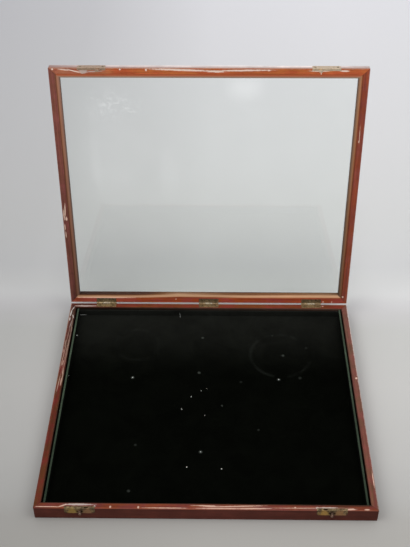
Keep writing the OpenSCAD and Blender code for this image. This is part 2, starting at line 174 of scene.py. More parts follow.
def put(tree, kind, values=(), out=0, stops=(), **settings):
    """Adds one node with its settings and links, and returns one of its outputs.

    Its values are numbers, other nodes' outputs, colours or sRGB hex codes."""
    node = tree.nodes.new("ShaderNode" + kind)
    for name, value in settings.items():
        setattr(node, name, value)
    for i, (place, tone) in enumerate(stops):
        ramp = node.color_ramp.elements
        while i == 0 and len(ramp) > 1:
            ramp.remove(ramp[1])
        stop = ramp.new(place) if i else ramp[0]
        stop.position = place
        stop.color = linear(tone) if isinstance(tone, str) else (tone, tone, tone, 1)
    shown = [socket for socket in node.inputs if socket.enabled]
    for key, value in values.items() if isinstance(values, dict) else enumerate(values):
        socket = node.inputs[key] if isinstance(key, str) else shown[key]
        if isinstance(value, bpy.types.NodeSocket):
            tree.links.new(value, socket)
        else:
            socket.default_value = linear(value) if isinstance(value, str) else value
    results = [socket for socket in node.outputs if socket.enabled]
    return node.outputs[out] if isinstance(out, str) else results[out] if results else node


def new_finish(name):
    """A material without nodes, and the function that adds nodes to it."""
    material = bpy.data.materials.new(name)
    material.use_nodes = True
    material.node_tree.nodes.clear()
    return material, partial(put, material.node_tree)


def maths(add, operation, *numbers):
    return add("Math", numbers, operation=operation)


def product(add, *numbers):
    """Numbers multiplied together."""
    return reduce(partial(maths, add, "MULTIPLY"), numbers)


def apart(add, one, other):
    """How far two numbers are from each other."""
    return maths(add, "ABSOLUTE", maths(add, "SUBTRACT", one, other))


def shaded(add, colour, shade):
    """A colour times a number."""
    return add("VectorMath", {"Vector": colour, "Scale": shade}, operation="SCALE")


def mixed(add, share, under, over):
    """A colour with a share of another over it."""
    return add("Mix", [share, under, over], data_type="RGBA")


def eased(add, number, start, end, low, high, **how):
    """Goes from low to high while a number goes from start to end."""
    return add("MapRange", [number, start, end, low, high], **how)


def ramp(add, number, low, high, points):
    """What points give for a number: each is a number from low to high, and the share or the
    colour that belongs to it."""
    stops = [((place - low) / (high - low), tone) for place, tone in points]
    return add("ValToRGB", [eased(add, number, low, high, 0, 1)], stops=stops)


def noise(add, at, size, detail=2.0, roughness=0.5, distortion=0.0):
    """Noise with lumps of about one size in millimetres."""
    values = {
        "Vector": at, "Scale": 1 / size, "Detail": detail, "Roughness": roughness,
        "Distortion": distortion,
    }
    return add("TexNoise", values, out="Fac")


def away(add, at, middle, reach=(1, 1, 1), turn=0.0):
    """How far a point is from a middle, in reaches of its own along x, y and z. The turn of
    these axes is in degrees."""
    values = {"Vector": at, "Location": middle, "Rotation": (0, 0, math.radians(turn))}
    near = add("Mapping", {**values, "Scale": reach}, vector_type="TEXTURE")
    return add("VectorMath", [near], out="Value", operation="LENGTH")


def surface(add, colour, roughness, others, bump=None):
    """Ends a finish. A bump is its strength, its depth in metres and its height."""
    values = {"Base Color": colour, "Roughness": roughness, **others}
    if bump:
        values["Normal"] = add("Bump", dict(zip(("Strength", "Distance", "Height"), bump)))
    add("OutputMaterial", {"Surface": add("BsdfPrincipled", values)})


def give(material, *pieces):
    """Puts one finish on whole pieces, given as objects or as names of solid parts."""
    for piece in pieces:
        mesh = (frame["nodes"][piece] if isinstance(piece, str) else piece).data
        mesh.materials.clear()
        mesh.materials.append(material)


def place_in_mm(add, lid):
    """A point's place in millimetres, and a lid's as it lies when the case is shut."""
    angle = OPEN_ANGLE if lid else 0
    values = {
        "Vector": add("TexCoord", out="Object"),
        "Location": (PIN - Matrix.Rotation(angle, 3, "X") @ PIN) * MM,
        "Rotation": (angle, 0, 0),
        "Scale": (MM, MM, MM),
    }
    return add("Mapping", values)


def across(add, at, side):
    """How far a point lies in from the outer face of one side, in millimetres."""
    half, axis = (HALF_W, 0) if side in FLANKS else (HALF_D, 1)
    sign = 1 if side in ("left", "front") else -1
    return maths(add, "MULTIPLY_ADD", add("SeparateXYZ", [at], out=axis), sign, half)


def profile(add, at, side, points, low=0.0, high=2.0):
    """A number between low and high that follows points along a side: each is a place in
    millimetres from the side's middle and the number there."""
    run = add("SeparateXYZ", [at], out=1 if side in FLANKS else 0)
    shares = [(mm, (number - low) / (high - low)) for mm, number in points]
    share = ramp(add, run, -PROFILE_END, PROFILE_END, shares)
    return eased(add, share, 0, 1, low, high)


def strokes(add, at, side, level, ragged, marks):
    """Marks on the joint, as a mask. A mark is its middle along the side and its depth from the
    outer face, its half length and half width in millimetres and, where they matter, its slant
    in degrees and the share of it that shows."""
    mask = 0.0
    for run, depth, reach, width, *others in marks:
        slant, share = others + [0, 1.0][len(others) :]
        place, turn = {
            "front": ((run, depth - HALF_D), slant),
            "back": ((run, HALF_D - depth), -slant),
            "left": ((depth - HALF_W, run), 90 - slant),
            "right": ((HALF_W - depth, run), 90 + slant),
        }[side]
        off = away(add, at, (*place, level), (reach, width, MARK_HEIGHT), turn)
        off = maths(add, "ADD", off, ragged)
        mask = maths(add, "MAXIMUM", mask, eased(add, off, 1.3, 0.8, 0, share))
    return mask


def grained(add, at, side, coarse, fine, seed):
    """Noise that is drawn out along one side's grain: coarse is its length and fine its width in
    millimetres."""
    along, over = 1 / coarse, 1 / fine
    scale = (over, along, over) if side in FLANKS else (along, over, over)
    shift = [seed * step for step in SEED_STEPS]
    drawn = add("Mapping", {"Vector": at, "Scale": scale, "Location": shift})
    return noise(add, drawn, 1, 5, 0.6, 0.4)


def old_mahogany(
    name, side, lid, tones, seed, inner=("#6e4030", "#6e4030"), inner_dirt_and_shade=((0, 0.0),),
    inner_dirt_and_shade_at=((0, 6.8),), rub=((0, 0.5),), worn="#b98a74", fade=((0, 1.0),), ashy=((0, 0.0),),
    ash="#85706a", bloom_and_sheen_along=((0, 0.0),), strength=(0.9, 0.9), cream="#e9c6b0", pale=(), white=(),
    dark=(),
):
    """Red-stained mahogany under old french polish, worn and chipped along the joint.

    The eye sees a dark outer face, a brighter joint face where two tones of stain run into each
    other along the grain, short dark pores, and pale wood wherever the polish is knocked off.
    The profiles edge, rub, fade, ashy and bloomed run along the piece: the soiling and painted
    shade on its inner arris (inner_dirt_and_shade_at is where that starts), the wear of its outer
    arris, the depth of the stain, how far it has gone grey, and a whitish blooming with painted
    sheen on its outer face. Inner is the inner face's tones at both ends. Strength is of the white
    and the pale marks."""
    colours = bpy.context.scene.case_colours
    material, add = new_finish(name)
    at = place_in_mm(add, lid)
    along = partial(profile, add, at, side)
    x, y, z = (add("SeparateXYZ", [at], out=i) for i in range(3))
    inward = across(add, at, side)
    level = JOINT if lid else RIM
    height = maths(add, "SUBTRACT", *((z, level) if lid else (level, z)))
    on_joint = eased(add, height, *JOINT_EDGE, 0, 1)
    # Ribbon figure 3 mm wide and 90 mm long, and pores drawn 0.5 mm wide so that they show
    figure = grained(add, at, side, 90, 2.8, seed)
    pores = grained(add, at, side, 7, 0.5, seed + 3)
    streaks = grained(add, at, side, 38, 3.6, seed + 6)
    mottle = noise(add, at, 22, 3)
    polish, joint, second = tones
    blend = eased(add, maths(add, "ADD", streaks, mottle), 0.88, 1.12, 0, 1)
    ground = mixed(add, along(ashy), mixed(add, blend, joint, second), ash)
    # Wax, soiling and painted shade darken the inner arris; handling blooms the polish and painted
    # sheen whitens the outer face
    dirt_and_shade = eased(add, inward, along(inner_dirt_and_shade_at, high=10), ARRIS_DIRT_AND_SHADE, 0, along(inner_dirt_and_shade))
    ground = mixed(add, dirt_and_shade, ground, colours.grime_and_shade)
    bloom_and_sheen = ramp(add, height, 0, BLOOM_AND_SHEEN_END, [(0.6, 0.22), (1.8, 0.36), (4.5, 0.68), (8.04, 0.98)])
    outer = mixed(add, product(add, bloom_and_sheen, along(bloom_and_sheen_along)), polish, "#f2e6e0")
    # Painted shade: the inner face is brighter just under the joint and darker lower down, where
    # shade falls
    inside = mixed(add, along(((-200, 0), (200, 1))), *inner)
    inside = shaded(add, inside, eased(add, height, 0.6, 2.6, 1.1, 0.35))
    outer = mixed(add, eased(add, inward, *INNER_FACE, 0, 1), outer, inside)
    shade = product(
        add,
        eased(add, figure, 0.3, 0.7, 0.74, 1.24),
        eased(add, mottle, 0.3, 0.7, 0.84, 1.14),
        eased(add, pores, 0.36, 0.44, 0.66, 1.0),
        along(fade),
    )
    wood = shaded(add, mixed(add, on_joint, outer, ground), shade)
    # A fine dark line where the mitres meet
    off_mitre = maths(add, "SUBTRACT", maths(add, "ABSOLUTE", x), maths(add, "ABSOLUTE", y))
    off_mitre = apart(add, off_mitre, HALF_W - HALF_D)
    wood = mixed(add, eased(add, off_mitre, 0.1, 0.6, 0.6, 0), wood, colours.grime_and_shade)
    # The outer arris is rubbed all along, and the named marks lie on the joint face
    crumble = noise(add, at, 2.2, 5, 0.7)
    off_arris = maths(add, "MULTIPLY_ADD", height, 2.2, inward)
    chips = eased(add, crumble, 0.42, 0.66, 0, 1.2)
    chips = eased(add, maths(add, "SUBTRACT", off_arris, chips), 0, 0.35, 1, 0)
    bare = product(add, chips, along(rub))
    wood = mixed(add, bare, wood, worn)
    fibres = grained(add, at, side, 6, 0.6, seed + 9)
    ragged = maths(add, "MULTIPLY_ADD", maths(add, "ADD", fibres, crumble), 1.3, -1.3)
    for marks, amount, tone in (
        (dark, 0.55, colours.grime_and_shade),
        (white, strength[0], colours.white_ground),
        (pale, strength[1], cream),
    ):
        if marks:
            mask = product(add, strokes(add, at, side, level, ragged, marks), amount)
            wood = mixed(add, mask, wood, tone)
            bare = maths(add, "MAXIMUM", bare, mask)
    dull = add("Mix", [bare, 0.42, 0.75], data_type="FLOAT")
    grooves = eased(add, pores, 0.36, 0.44, 0, 0.04)
    relief = maths(add, "SUBTRACT", grooves, product(add, bare, 0.25))
    others = {"IOR": 1.5, "Specular IOR Level": 0.12 if lid else 0.08}
    surface(add, wood, dull, others, (0.6, 0.001, relief))
    return material


def rubbed_bead(name, side, seed, bands, wander=((0, 0.0),), fade=((0, 1.0),)):
    """Softwood glazing bead, stained to match the mahogany and rubbed back on its high side.

    The eye sees bands along it, given as depths from the case's outer face and their colours,
    which hold painted light and shade. They wander in and out along the bead by some millimetres,
    and it is darker in places."""
    material, add = new_finish(name)
    at = place_in_mm(add, True)
    figure = grained(add, at, side, 60, 1.2, seed)
    place = maths(add, "MULTIPLY_ADD", figure, 1.4, -0.7)
    place = maths(add, "ADD", place, across(add, at, side))
    place = maths(add, "ADD", place, profile(add, at, side, wander, -3, 3))
    wood = ramp(add, place, *BEAD_SPAN, bands)
    # The side that stands on the glass was never rubbed, and painted shade darkens it
    height = maths(add, "SUBTRACT", add("SeparateXYZ", [at], out=2), JOINT)
    shade = product(
        add,
        eased(add, figure, 0.3, 0.7, 0.84, 1.14),
        profile(add, at, side, fade),
        eased(add, height, 1.2, 1.8, 1.0, 0.5),
    )
    others = {"IOR": 1.5, "Specular IOR Level": 0.12}
    surface(add, shaded(add, wood, shade), 0.5, others, (0.3, 0.0003, figure))
    return material


def bare_pine():
    """Unpolished pine panel, brown with age: broad soft year rings and a planed, dull face."""
    material, add = new_finish("aged bare pine")
    at = place_in_mm(add, False)
    ring = grained(add, at, "front", 260, 9, 4)
    fibre = grained(add, at, "front", 14, 0.7, 6)
    stops = [(0.3, "#a67c4f"), (0.5, "#b98e60"), (0.62, "#8a6038"), (0.7, "#b48a5c")]
    wood = add("ValToRGB", [ring], stops=stops)
    wood = shaded(add, wood, eased(add, fibre, 0.3, 0.7, 0.85, 1.1))
    surface(add, wood, 0.7, {"IOR": 1.5}, (0.4, 0.0004, fibre))
    return material


def pressed_board():
    """Grey-brown pressed board: short fibres laid every way, matt and a little furry."""
    material, add = new_finish("pressed grey board")
    fibre = noise(add, place_in_mm(add, False), 1.4, 6, 0.75, 1.5)
    board = add("ValToRGB", [fibre], stops=[(0.3, "#5d554b"), (0.7, "#857a6c")])
    surface(add, board, 0.9, {"IOR": 1.45}, (0.5, 0.0003, fibre))
    return material


def aged_brass(name, clean, slots=None, worn=(), tones=("#b09a72", "#4f4031"), knuckle_glint=0.0):
    """Rolled brass, once lacquered: rubbed metal on a brown skin, with fine scratches.

    Worn spots are middles and reaches in millimetres, and the colour that shows there.
    Where a lid's leaf turns on its pin, patches of painted glint brighten its knuckles. Slots
    names the part of the case that screws are in, whose slots hold soiling and painted shade."""
    material, add = new_finish(name)
    at = place_in_mm(add, slots == "lid")
    cloud = noise(add, at, 3.2, 5, 0.65)
    speck = noise(add, at, 0.7)
    scratch = grained(add, at, "front", 12, 0.25, 2)
    skin = eased(add, cloud, 0.35 + clean, 0.65 + clean, 0, 0.9)
    skin = maths(add, "MAXIMUM", skin, eased(add, speck, 0.55, 0.7, 0, 0.5))
    metal = mixed(add, skin, *tones)
    for middle, reach, golden in worn:
        far = maths(add, "MULTIPLY_ADD", cloud, 1.6, away(add, at, middle, reach))
        metal = mixed(add, eased(add, far, 2.1, 1.4, 0, 0.85), metal, golden)
    # Painted glint: pale patches near the pin's axis, where the knuckles would catch the light
    if knuckle_glint:
        off = add("VectorMath", [at, PIN * MM], operation="SUBTRACT")
        off = add("VectorMath", [off, (0, 1, 1)], operation="MULTIPLY")
        off = add("VectorMath", [off], out="Value", operation="LENGTH")
        patchy = eased(add, speck, 0.45, 0.6, 0, knuckle_glint)
        bright = product(add, eased(add, off, *KNUCKLE_GLINT, 0, 1), patchy)
        metal = mixed(add, bright, metal, "#e9e0cc")
    if slots:
        # Soiling and painted shade darken the slots, whose bottoms lie under the screws' faces, at
        # the joint or at the case's front
        y, z = (add("SeparateXYZ", [at], out=i) for i in (1, 2))
        sunk = apart(add, z, RIM if slots == "tray" else JOINT)
        front = maths(add, "ADD", y, HALF_D)
        at_front = maths(add, "LESS_THAN", y, 0)
        sunk = add("Mix", [at_front, sunk, front], data_type="FLOAT")
        metal = mixed(add, eased(add, sunk, 0.1, 0.4, 0, 0.85), metal, "#1b150c")
    rubbed = eased(add, scratch, 0.3, 0.7, 0.26, 0.42)
    dull = add("Mix", [skin, rubbed, 0.62], data_type="FLOAT")
    surface(add, metal, dull, {"Metallic": 1.0}, (0.25, 0.0002, scratch))
    return material


def rusty_pin_steel():
    """Drawn steel wire of old panel pins: grey, with brown rust spots."""
    material, add = new_finish("drawn steel with rust")
    spot = noise(add, place_in_mm(add, False), 0.6, 3)
    metal = add("ValToRGB", [spot], stops=[(0.4, "#8b8681"), (0.62, "#5a4030")])
    surface(add, metal, eased(add, spot, 0.4, 0.62, 0.35, 0.8), {"Metallic": 1.0})
    return material


def picture_glass():
    """Clear 2 mm sheet glass, hardly green at all, with faint finger smears and a painted glare.

    Lamps shine straight through it, as they would through a sheet this thin."""
    material, add = new_finish("clear sheet glass")
    at = place_in_mm(add, True)
    film_and_glare = eased(add, noise(add, at, 55, 4, 0.55, 1.2), 0.5, 0.8, 0, 0.016)
    wisps = eased(add, noise(add, at, 9, 3, 0.6, 2.4), 0.54, 0.62, 0, 1)
    for middle, reach, amount, wispy in SMEARS_AND_GLARE:
        far = away(add, at, (*middle, JOINT + SMEAR_LEVEL), (*reach, SMEAR_HEIGHT))
        spot = eased(add, far, 1.1, 0.1, 0, amount, **SOFT)
        film_and_glare = maths(add, "ADD", film_and_glare, product(add, spot, wisps) if wispy else spot)
    values = {"Base Color": "#fcfffd", "Roughness": 0.0, "IOR": 1.5, "Transmission Weight": 1.0}
    glass = add("BsdfPrincipled", values)
    # The smears' diffuse light is added to all that the glass lets through, so they are partly
    # painted light and the glare wholly
    pane = add("AddShader", [glass, add("BsdfDiffuse", {"Color": film_and_glare})])
    clear = add("BsdfTransparent", {"Color": "#f4f6f5"})
    shadow = add("LightPath", out="Is Shadow Ray")
    add("OutputMaterial", {"Surface": add("MixShader", [shadow, pane, clear])})
    return material


def velvet(name, pile, dust_and_sheen, fade, sheen, dust_spots=(), rings=(), worn=(1.0, 1.0)):
    """Cotton velvet: light sinks into the upright pile, which only gleams where it is seen
    along its side. The nap lies a little differently from patch to patch, and holds dust.

    The pile fades to a second colour, which holds painted sheen and on the floor dust too: fade is
    along which axis, and from where to where. Worn is how bright the pile is at the front and at
    the back."""
    material, add = new_finish(name)
    at = place_in_mm(add, False)
    nap = noise(add, at, 38, 4, 0.6, 0.6)
    tuft = noise(add, at, 0.8, 3, 0.7)
    axis, start, end = fade
    share = eased(add, add("SeparateXYZ", [at], out=axis), start, end, 0, 1, **SOFT)
    shade = product(
        add,
        eased(add, nap, 0.3, 0.7, 0.75, 1.3),
        eased(add, tuft, 0.3, 0.7, 0.6, 1.4),
        eased(add, add("SeparateXYZ", [at], out=1), *PILE_SPAN, *worn),
    )
    cloth = shaded(add, mixed(add, share, pile, dust_and_sheen), shade)
    dust = 0.0
    for x, y, reach, amount in dust_spots:
        far = away(add, at, (x, y, VELVET_LEVEL))
        spot = eased(add, far, 0.2 * reach, reach, amount, 0, **SOFT)
        dust = maths(add, "MAXIMUM", dust, spot)
    for x, y, radius, amount in rings:
        off = apart(add, away(add, at, (x, y, VELVET_LEVEL)), radius)
        patchy = eased(add, nap, 0.42, 0.6, 0, amount)
        ring = product(add, eased(add, off, 0.5, 4, 1, 0), patchy)
        dust = maths(add, "MAXIMUM", dust, ring)
    others = {
        "Specular IOR Level": 0.0, "Sheen Weight": sheen, "Sheen Roughness": 0.45,
        "Sheen Tint": "#d9ddd0",
    }
    surface(add, mixed(add, dust, cloth, "#a4ada2"), 0.95, others, (0.5, 0.0004, tuft))
    return material


def lint_fluff():
    """White lint and a few pale threads: loose dry fibre, quite matt."""
    material, add = new_finish("loose white lint")
    fibre = noise(add, place_in_mm(add, False), 0.3, 3)
    fluff = add("ValToRGB", [fibre], stops=[(0.3, "#8f968f"), (0.65, "#eef0ea")])
    surface(add, fluff, 1.0, {"IOR": 1.45})
    return material


def enter(mode):
    bpy.ops.object.mode_set(mode=mode)


def start_piece(name):
    """Names the piece that was just made, and applies its place, turn and scale."""
    piece = bpy.context.object
    piece.name = piece.data.name = name
    bpy.ops.object.transform_apply(location=True, rotation=True, scale=True)
    return piece


def clear_selection():
    if bpy.context.object and bpy.context.object.mode != "OBJECT":
        enter("OBJECT")
    bpy.ops.object.select_all(action="DESELECT")


def add_block(name, low, high):
    """A block between two corners, as the start of a piece."""
    clear_selection()
    low, high = Vector(low), Vector(high)
    bpy.ops.mesh.primitive_cube_add(size=1, location=(low + high) / 2)
    bpy.context.object.scale = high - low
    return start_piece(name)


def pick(piece, kind, wanted):
    """Opens a piece for editing with those edges or faces selected whose corners are wanted."""
    enter("EDIT")
    bpy.ops.mesh.select_mode(type=kind)
    bpy.ops.mesh.select_all(action="DESELECT")
    enter("OBJECT")
    points = piece.data.vertices
    for part in piece.data.edges if kind == "EDGE" else piece.data.polygons:
        part.select = bool(wanted(*(points[i].co for i in part.vertices)))
    enter("EDIT")


def modify(piece, kind, **settings):
    """Adds a modifier and applies it."""
    modifier = piece.modifiers.new(kind.title(), kind)
    for name, value in settings.items():
        setattr(modifier, name, value)
    bpy.ops.object.modifier_apply(modifier=modifier.name)


def clouds(size):
    """Soft lumps of one size, for cloth that doesn't lie quite flat."""
    texture = bpy.data.textures.new("cloth lumps", "CLOUDS")
    texture.noise_scale = size
    return texture


def stretch_floor_velvet(sizes):
    """The black velvet, glued over its board and turned down at the edges."""
    low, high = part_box("floor_velvet")
    clear_selection()
    middle = ((low.x + high.x) / 2, (low.y + high.y) / 2, high.z)
    bpy.ops.mesh.primitive_grid_add(
        x_subdivisions=CELLS_X, y_subdivisions=CELLS_Y, size=1, location=middle
    )
    bpy.context.object.scale = (high.x - low.x, high.y - low.y, 1)
    piece = start_piece("stretched_floor_velvet")
    lumps, wave = clouds(FLOOR_LUMPS), sizes.velvet_wave
    modify(piece, "DISPLACE", texture=lumps, strength=wave, mid_level=1.0, direction="Z")
    enter("EDIT")
    bpy.ops.mesh.select_all(action="DESELECT")
    bpy.ops.mesh.select_mode(type="EDGE")
    bpy.ops.mesh.select_non_manifold()
    turned = low.z + TURN_GAP - high.z
    bpy.ops.mesh.extrude_region_move(TRANSFORM_OT_translate={"value": (0, 0, turned)})
    bpy.ops.mesh.select_all(action="SELECT")
    bpy.ops.mesh.normals_make_consistent(inside=False)
    enter("OBJECT")
    modify(piece, "SOLIDIFY", thickness=sizes.velvet_t / 2, offset=-1)
    bpy.ops.object.shade_smooth_by_angle(angle=SMOOTH)
    return piece


def wrap_strip(side, sizes):
    """One lining strip: velvet folded over a card. Also gives the velvet's flat size."""
    low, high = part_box(side + "_liner")
    run = 1 if side in FLANKS else 0
    piece = add_block(side + "_strip_velvet", low, high)
    pick(piece, "FACE", lambda *corners: all(corner.z < low.z + TOUCH for corner in corners))
    bpy.ops.mesh.delete(type="FACE")
    pick(piece, "EDGE", lambda a, b: abs((a - b)[run]) > TOUCH)
    bpy.ops.mesh.subdivide(number_cuts=STRIP_CUTS)
    top = high.z - TOUCH
    pick(piece, "EDGE", lambda a, b: min(a.z, b.z) > top and abs((a - b)[1 - run]) < TOUCH)
    bpy.ops.mesh.bevel(offset=sizes.strip_edge, segments=4, profile=0.5)
    enter("OBJECT")
    lumps, wave = clouds(STRIP_LUMPS), sizes.strip_wave
    modify(piece, "DISPLACE", texture=lumps, strength=wave, mid_level=1.0)
    modify(piece, "SOLIDIFY", thickness=sizes.velvet_t, offset=-1)
    bpy.ops.object.shade_smooth_by_angle(angle=SMOOTH)
    inset = Vector((1, 1, 1)) * (sizes.velvet_t + wave)
    card = add_block(side + "_strip_card", low + Vector((inset.x, inset.y, 0)), high - inset)
    pick(card, "EDGE", lambda a, b: True)
    bpy.ops.mesh.bevel(offset=sizes.card_edge, segments=2)
    enter("OBJECT")
    flat = (2 * (high.z - low.z) + (high - low)[1 - run], (high - low)[run])
    return piece, card, flat


# Lint on the velvet: x, y, height, width, length and turn, in millimetres and degrees
LINT = [
    (-209.4, 137.4, 8.4, 1.7, 1.9, 20), (-210.2, 44.9, 12.6, 0.9, 1.2, 0),
    (-27.0, -121.7, 8.3, 1.5, 2.0, 10), (20.9, -124.2, 8.3, 1.6, 1.9, 60),
    (-113.8, 46.5, 8.2, 1.5, 1.3, 0), (-9.3, 20.3, 8.2, 1.0, 1.3, 30),
    (-1.4, 24.6, 8.2, 0.9, 1.2, 80), (-24.0, 8.3, 8.2, 0.7, 3.0, -12),
    (-37.2, -16.5, 8.2, 0.7, 3.6, 8), (-8.4, -94.9, 8.2, 1.3, 1.2, 0),
    (107.5, 44.3, 8.2, 1.5, 1.4, 40), (-3.4, -28.3, 8.2, 0.6, 1.4, 65),
]
LINT_FLATNESS = 0.45  # its thickness, of its lesser width
LINT_JOLT = 0.13  # of its corners, as a share of its size
# Stray threads: their ends, in millimetres
THREADS = [
    ((-210.0, 185.0, 9.2), (-199.5, 185.2, 9.0)), ((-46.9, 185.3, 14.0), (-46.2, 181.5, 8.3)),
]


def roughen(jolt, seed, cuts=0):
    """Cuts up the piece that was just made, jolts its corners and smooths it."""
    enter("EDIT")
    if cuts:
        bpy.ops.mesh.subdivide(number_cuts=cuts)
    bpy.ops.transform.vertex_random(offset=jolt, seed=seed)
    enter("OBJECT")
    bpy.ops.object.shade_smooth()
    return bpy.context.object


def scatter_lint(sizes):
    """Specks of lint and two stray threads that lie on the velvet, as one piece."""
    clear_selection()
    made = []
    for i, (x, y, z, width, length, turn) in enumerate(LINT):
        bpy.ops.mesh.primitive_ico_sphere_add(
            subdivisions=2, radius=0.5, location=(x / MM, y / MM, z / MM),
            rotation=(0, 0, math.radians(turn)),
        )
        thick = LINT_FLATNESS * min(width, length)
        bpy.context.object.scale = (width / MM, length / MM, thick / MM)
        made.append(roughen(LINT_JOLT, i))
    for start, end in THREADS:
        start, end = Vector(start) / MM, Vector(end) / MM
        bpy.ops.mesh.primitive_cylinder_add(
            vertices=8, radius=sizes.thread_d / 2, depth=(end - start).length,
            location=(start + end) / 2,
            rotation=(end - start).to_track_quat("Z", "Y").to_euler(),
        )
        made.append(roughen(sizes.thread_d / 4, len(made), cuts=4))
    for piece in made:
        piece.select_set(True)
    bpy.ops.object.join()
    return start_piece("velvet_lint")


# What each wall and rail hands to old_mahogany, with marks as strokes describes them. The case
# was shut when most marks were made, so many lie at one place on tray and lid.
WALLS = {
    "front_wall": dict(
        tones=("#562a21", "#7d3d24", "#6e332c"), seed=1, inner_dirt_and_shade=((-200, 0.85), (200, 1.0)),
        rub=((-200, 0.0), (-60, 0.15)), inner_dirt_and_shade_at=((-200, 6.6), (-60, 6.8), (100, 6.0), (200, 5.2)),
        strength=(0.6, 0.66),
        fade=((-215, 0.85), (-170, 1.0), (-60, 1.0), (10, 1.1), (80, 1.0), (200, 0.85)),
        # The long thin pale marks 1.4 to 2.1 mm in from the outer arris are worn wood and a
        # painted highlight on the arris
        pale=[
            (-207, 2.1, 16, 0.6), (-187, 3.9, 6, 0.8, 20), (-124.3, 2.5, 1.2, 1.6),
            (-87.7, 2.5, 1.1, 1.6), (0, 5.6, 16, 0.7, -1), (-52, 1.6, 26, 0.6), (20, 1.4, 30, 0.7),
            (62, 1.7, 22, 0.8, 1), (42, 5.2, 31, 0.7, 2), (34, 3.6, 42, 2.2, 0.5, 0.14),
            (150, 3.2, 40, 1.6, 0, 0.2), (10, 4.2, 14, 0.5), (115, 3.0, 28, 0.35),
            (116.5, 3.8, 1.1, 1.0), (189.5, 1.8, 5.6, 1.1, 2), (209.5, 1.6, 3.2, 1.0),
        ],
        white=[
            (-166, 5.9, 18, 1.3), (-144.8, 3.4, 1.1, 1.6), (160, 4.0, 10.5, 1.0),
            (145.6, 3.4, 2.4, 1.5),
        ],
        dark=[(-212, 0.8, 12, 0.5), (178, 5.2, 9, 1.0)],
    ),
    "back_wall": dict(
        tones=("#52251a", "#784122", "#7a3529"), seed=2, inner=("#46342a", "#846050"),
        inner_dirt_and_shade=((0, 0.1),), rub=((-200, 0.05), (200, 0.38)), strength=(0.55, 0.55),
        fade=((-200, 0.72), (-110, 0.9), (-50, 1.0)), pale=[(185.5, 4, 1.3, 1.3)],
        white=[(-200.5, 5.9, 17, 1.6)], dark=[(-203, 2.4, 18, 1.5)],
    ),
    "left_wall": dict(
        tones=("#52251a", "#5a3018", "#62241c"), seed=3, inner=("#4a2c20", "#5e4436"),
        inner_dirt_and_shade=((0, 0.6),), rub=((-200, 0.0), (0, 0.25), (200, 0.6)), strength=(0.75, 0.38),
        fade=((-200, 0.97), (40, 1.0), (120, 0.68)), ashy=((20, 0.0), (200, 0.45)), ash="#5c4a44",
        pale=[
            (22, 3.0, 16, 0.6, 2), (30, 7.0, 14, 0.6, 1), (46, 6.2, 6, 0.9), (25, 6.2, 8, 1.0),
            (92, 7.2, 46, 0.35, 1), (86, 5.6, 38, 0.3, 2), (78, 2.6, 22, 0.5, 3),
            (64, 3.6, 6, 0.6, 8), (106, 2.2, 8, 0.45), (124, 4.0, 20, 0.3, 3),
            (150, 6.8, 24, 0.35, -2), (90, 1.4, 5, 0.5),
        ],
        white=[
            (176, 2.3, 7, 1.0, 4), (162, 1.9, 4, 0.8), (187, 4.4, 5, 0.7, 22),
            (168, 6.6, 4, 0.6, -14), (150, 4.8, 9, 0.5, 5, 0.5),
        ],
        dark=[(170, 5.0, 14, 1.3), (188, 6.0, 6, 1.6), (178, 3.4, 12, 0.7, 4)],
    ),
    "right_wall": dict(
        tones=("#52251a", "#6e4835", "#783f38"), seed=4, inner=("#4e3024", "#7c5244"),
        inner_dirt_and_shade=((0, 0.25),), rub=((-200, 0.2), (200, 0.9)), worn="#d8c8c0",
        ashy=((-200, 0.0), (200, 0.4)), ash="#6e5248",
        pale=[(36, 2.6, 1.7, 1.4), (-150, 1.2, 12, 0.4)],
    ),
}
